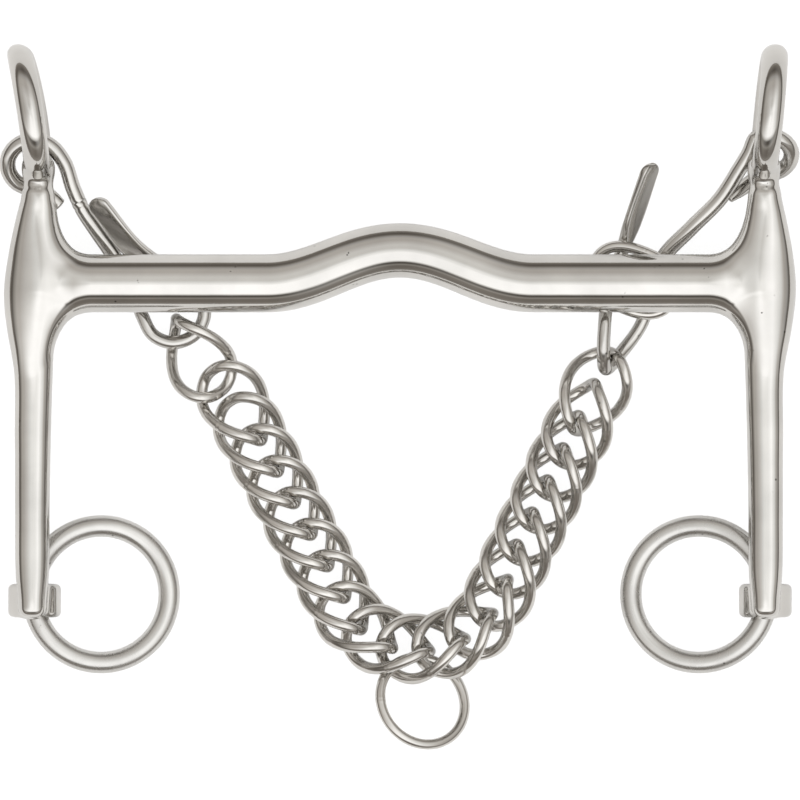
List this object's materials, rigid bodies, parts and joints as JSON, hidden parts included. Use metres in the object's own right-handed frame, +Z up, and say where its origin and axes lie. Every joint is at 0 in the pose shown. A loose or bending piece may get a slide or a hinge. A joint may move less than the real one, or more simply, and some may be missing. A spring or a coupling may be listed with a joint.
{
  "type": "curb bit",
  "caption": "Curb bit: straight cheeks welded to a low-port bar, with eyes, hinged rein rings, curb hooks, a double-link curb chain and a fly ring, lying flat.",
  "frame": {"origin": "on the table that the bit lies on, below the middle of its bounding box", "axes": "+X along the mouthpiece towards the right cheek, +Y up the cheeks towards the eyes, +Z up from the table, out of the bit's front"},
  "size_m": [0.156, 0.1374, 0.0267],
  "materials": {
    "polished_stainless": "mirror-polished stainless steel, warm grey reflections",
    "satin_stainless": "polished stainless steel with a slight satin haze",
    "hook_stainless": "polished stainless wire, flattened tail with a dark flat face",
    "chain_stainless": "polished stainless wire with a weld seam in each link"
  },
  "bodies": {
    "bit": {"mouthpiece": "polished_stainless", "left_cheek": "polished_stainless", "right_cheek": "polished_stainless"},
    "left_rein_ring": {"left_rein_ring": "satin_stainless"},
    "right_rein_ring": {"right_rein_ring": "satin_stainless"},
    "left_curb_hook": {"left_curb_hook": "hook_stainless"},
    "right_curb_hook": {"right_curb_hook": "hook_stainless"},
    "spare_link": {"spare_link": "chain_stainless"},
    "chain_link_01": {"chain_link_01": "chain_stainless"},
    "chain_link_02": {"chain_link_02": "chain_stainless"},
    "chain_link_03": {"chain_link_03": "chain_stainless"},
    "chain_link_04": {"chain_link_04": "chain_stainless"},
    "chain_link_05": {"chain_link_05": "chain_stainless"},
    "chain_link_06": {"chain_link_06": "chain_stainless"},
    "chain_link_07": {"chain_link_07": "chain_stainless"},
    "chain_link_08": {"chain_link_08": "chain_stainless"},
    "chain_link_09": {"chain_link_09": "chain_stainless"},
    "chain_link_10": {"chain_link_10": "chain_stainless"},
    "chain_link_11": {"chain_link_11": "chain_stainless"},
    "chain_link_12": {"chain_link_12": "chain_stainless"},
    "chain_link_13": {"chain_link_13": "chain_stainless"},
    "chain_link_14": {"chain_link_14": "chain_stainless"},
    "chain_link_15": {"chain_link_15": "chain_stainless"},
    "chain_link_16": {"chain_link_16": "chain_stainless"},
    "chain_link_17": {"chain_link_17": "chain_stainless"},
    "chain_link_18": {"chain_link_18": "chain_stainless"},
    "chain_link_19": {"chain_link_19": "chain_stainless"},
    "chain_link_20": {"chain_link_20": "chain_stainless"},
    "fly_ring": {"fly_ring": "chain_stainless"}
  },
  "joints": [
    {"name": "left_rein_ring_swing", "type": "hinge", "parent": "bit", "child": "left_rein_ring", "pos_m": [-0.0714, -0.0397, 0.00515], "axis": [0, -1, 0], "range_deg": [-200, 35]},
    {"name": "right_rein_ring_swing", "type": "hinge", "parent": "bit", "child": "right_rein_ring", "pos_m": [0.0714, -0.0397, 0.00515], "axis": [0, 1, 0], "range_deg": [-200, 35]},
    {"name": "left_hook_swing", "type": "hinge", "parent": "bit", "child": "left_curb_hook", "pos_m": [-0.0716, 0.0554, 0.01335], "axis": [1, 0, 0], "range_deg": [0, 90]},
    {"name": "right_hook_swing", "type": "hinge", "parent": "bit", "child": "right_curb_hook", "pos_m": [0.0716, 0.0554, 0.01335], "axis": [1, 0, 0], "range_deg": [0, 90]},
    {"name": "spare_link_turn", "type": "hinge", "parent": "right_curb_hook", "child": "spare_link", "pos_m": [0.0448, 0.027, 0.0058], "axis": [0, -0.2496, 0.9684], "range_deg": [-7, 10]},
    {"name": "chain_link_01_roll", "type": "hinge", "parent": "left_curb_hook", "child": "chain_link_01", "pos_m": [-0.03975, 0.008, 0.00565], "axis": [0.4737, -0.8797, -0.0419], "range_deg": [-4, 4]},
    {"name": "chain_link_02_roll", "type": "hinge", "parent": "left_curb_hook", "child": "chain_link_02", "pos_m": [-0.0318, -0.0015, 0.0056], "axis": [0.5592, -0.829, 0], "range_deg": [-4, 4]},
    {"name": "chain_link_03_roll", "type": "hinge", "parent": "left_curb_hook", "child": "chain_link_03", "pos_m": [-0.02853, -0.00765, 0.0056], "axis": [0.5592, -0.829, 0], "range_deg": [-4, 4]},
    {"name": "chain_link_04_roll", "type": "hinge", "parent": "left_curb_hook", "child": "chain_link_04", "pos_m": [-0.02526, -0.01381, 0.0056], "axis": [0.5592, -0.829, 0], "range_deg": [-4, 4]},
    {"name": "chain_link_05_roll", "type": "hinge", "parent": "left_curb_hook", "child": "chain_link_05", "pos_m": [-0.02198, -0.01996, 0.0056], "axis": [0.5592, -0.829, 0], "range_deg": [-4, 4]},
    {"name": "chain_link_06_roll", "type": "hinge", "parent": "left_curb_hook", "child": "chain_link_06", "pos_m": [-0.01871, -0.02612, 0.0056], "axis": [0.5592, -0.829, 0], "range_deg": [-4, 4]},
    {"name": "chain_link_07_roll", "type": "hinge", "parent": "left_curb_hook", "child": "chain_link_07", "pos_m": [-0.01544, -0.03227, 0.0056], "axis": [0.5592, -0.829, 0], "range_deg": [-4, 4]},
    {"name": "chain_link_08_roll", "type": "hinge", "parent": "left_curb_hook", "child": "chain_link_08", "pos_m": [-0.01217, -0.03843, 0.0056], "axis": [0.5592, -0.829, 0], "range_deg": [-4, 4]},
    {"name": "chain_link_09_roll", "type": "hinge", "parent": "left_curb_hook", "child": "chain_link_09", "pos_m": [-0.00816, -0.04408, 0.0056], "axis": [0.8008, -0.5925, 0.0872], "range_deg": [-4, 4]},
    {"name": "chain_link_10_roll", "type": "hinge", "parent": "left_curb_hook", "child": "chain_link_10", "pos_m": [-0.00228, -0.04772, 0.0056], "axis": [0.9706, -0.2242, 0.0872], "range_deg": [-4, 4]},
    {"name": "chain_link_11_roll", "type": "hinge", "parent": "left_curb_hook", "child": "chain_link_11", "pos_m": [0.00457, -0.04872, 0.0056], "axis": [0.9796, 0.1813, 0.0872], "range_deg": [-4, 4]},
    {"name": "chain_link_12_roll", "type": "hinge", "parent": "left_curb_hook", "child": "chain_link_12", "pos_m": [0.01125, -0.0469, 0.0056], "axis": [0.8261, 0.5567, 0.0872], "range_deg": [-4, 4]},
    {"name": "chain_link_13_roll", "type": "hinge", "parent": "left_curb_hook", "child": "chain_link_13", "pos_m": [0.01665, -0.04257, 0.0056], "axis": [0.5357, 0.8399, 0.0872], "range_deg": [-4, 4]},
    {"name": "chain_link_14_roll", "type": "hinge", "parent": "left_curb_hook", "child": "chain_link_14", "pos_m": [0.02009, -0.03654, 0.0056], "axis": [0.3355, 0.9421, 0], "range_deg": [-4, 4]},
    {"name": "chain_link_15_roll", "type": "hinge", "parent": "left_curb_hook", "child": "chain_link_15", "pos_m": [0.02311, -0.03025, 0.0056], "axis": [0.3355, 0.9421, 0], "range_deg": [-4, 4]},
    {"name": "chain_link_16_roll", "type": "hinge", "parent": "left_curb_hook", "child": "chain_link_16", "pos_m": [0.02612, -0.02397, 0.0056], "axis": [0.3355, 0.9421, 0], "range_deg": [-4, 4]},
    {"name": "chain_link_17_roll", "type": "hinge", "parent": "left_curb_hook", "child": "chain_link_17", "pos_m": [0.02913, -0.01768, 0.0056], "axis": [0.3355, 0.9421, 0], "range_deg": [-4, 4]},
    {"name": "chain_link_18_roll", "type": "hinge", "parent": "left_curb_hook", "child": "chain_link_18", "pos_m": [0.03214, -0.0114, 0.0056], "axis": [0.3355, 0.9421, 0], "range_deg": [-4, 4]},
    {"name": "chain_link_19_roll", "type": "hinge", "parent": "left_curb_hook", "child": "chain_link_19", "pos_m": [0.03515, -0.00511, 0.0056], "axis": [0.3355, 0.9421, 0], "range_deg": [-4, 4]},
    {"name": "chain_link_20_roll", "type": "hinge", "parent": "left_curb_hook", "child": "chain_link_20", "pos_m": [0.03795, 0.00105, 0.0054], "axis": [0.4301, 0.9017, 0.0454], "range_deg": [-4, 4]},
    {"name": "fly_ring_turn", "type": "hinge", "parent": "chain_link_11", "child": "fly_ring", "pos_m": [0.0044, -0.0593, 0.0055], "axis": [0.3766, 0.3289, 0.866], "continuous": true}
  ],
  "couplings": [
    {"joint": "right_hook_swing", "follows": "left_hook_swing", "ratio": 1},
    {"joint": "chain_link_01_roll", "follows": "chain_link_02_roll", "ratio": 1},
    {"joint": "chain_link_03_roll", "follows": "chain_link_02_roll", "ratio": 1},
    {"joint": "chain_link_04_roll", "follows": "chain_link_02_roll", "ratio": 1},
    {"joint": "chain_link_05_roll", "follows": "chain_link_02_roll", "ratio": 1},
    {"joint": "chain_link_06_roll", "follows": "chain_link_02_roll", "ratio": 1},
    {"joint": "chain_link_07_roll", "follows": "chain_link_02_roll", "ratio": 1},
    {"joint": "chain_link_08_roll", "follows": "chain_link_02_roll", "ratio": 1},
    {"joint": "chain_link_09_roll", "follows": "chain_link_02_roll", "ratio": 1},
    {"joint": "chain_link_10_roll", "follows": "chain_link_02_roll", "ratio": 1},
    {"joint": "chain_link_11_roll", "follows": "chain_link_02_roll", "ratio": 1},
    {"joint": "chain_link_12_roll", "follows": "chain_link_02_roll", "ratio": 1},
    {"joint": "chain_link_13_roll", "follows": "chain_link_02_roll", "ratio": 1},
    {"joint": "chain_link_14_roll", "follows": "chain_link_02_roll", "ratio": 1},
    {"joint": "chain_link_15_roll", "follows": "chain_link_02_roll", "ratio": 1},
    {"joint": "chain_link_16_roll", "follows": "chain_link_02_roll", "ratio": 1},
    {"joint": "chain_link_17_roll", "follows": "chain_link_02_roll", "ratio": 1},
    {"joint": "chain_link_18_roll", "follows": "chain_link_02_roll", "ratio": 1},
    {"joint": "chain_link_19_roll", "follows": "chain_link_02_roll", "ratio": 1},
    {"joint": "chain_link_20_roll", "follows": "chain_link_02_roll", "ratio": 1}
  ]
}
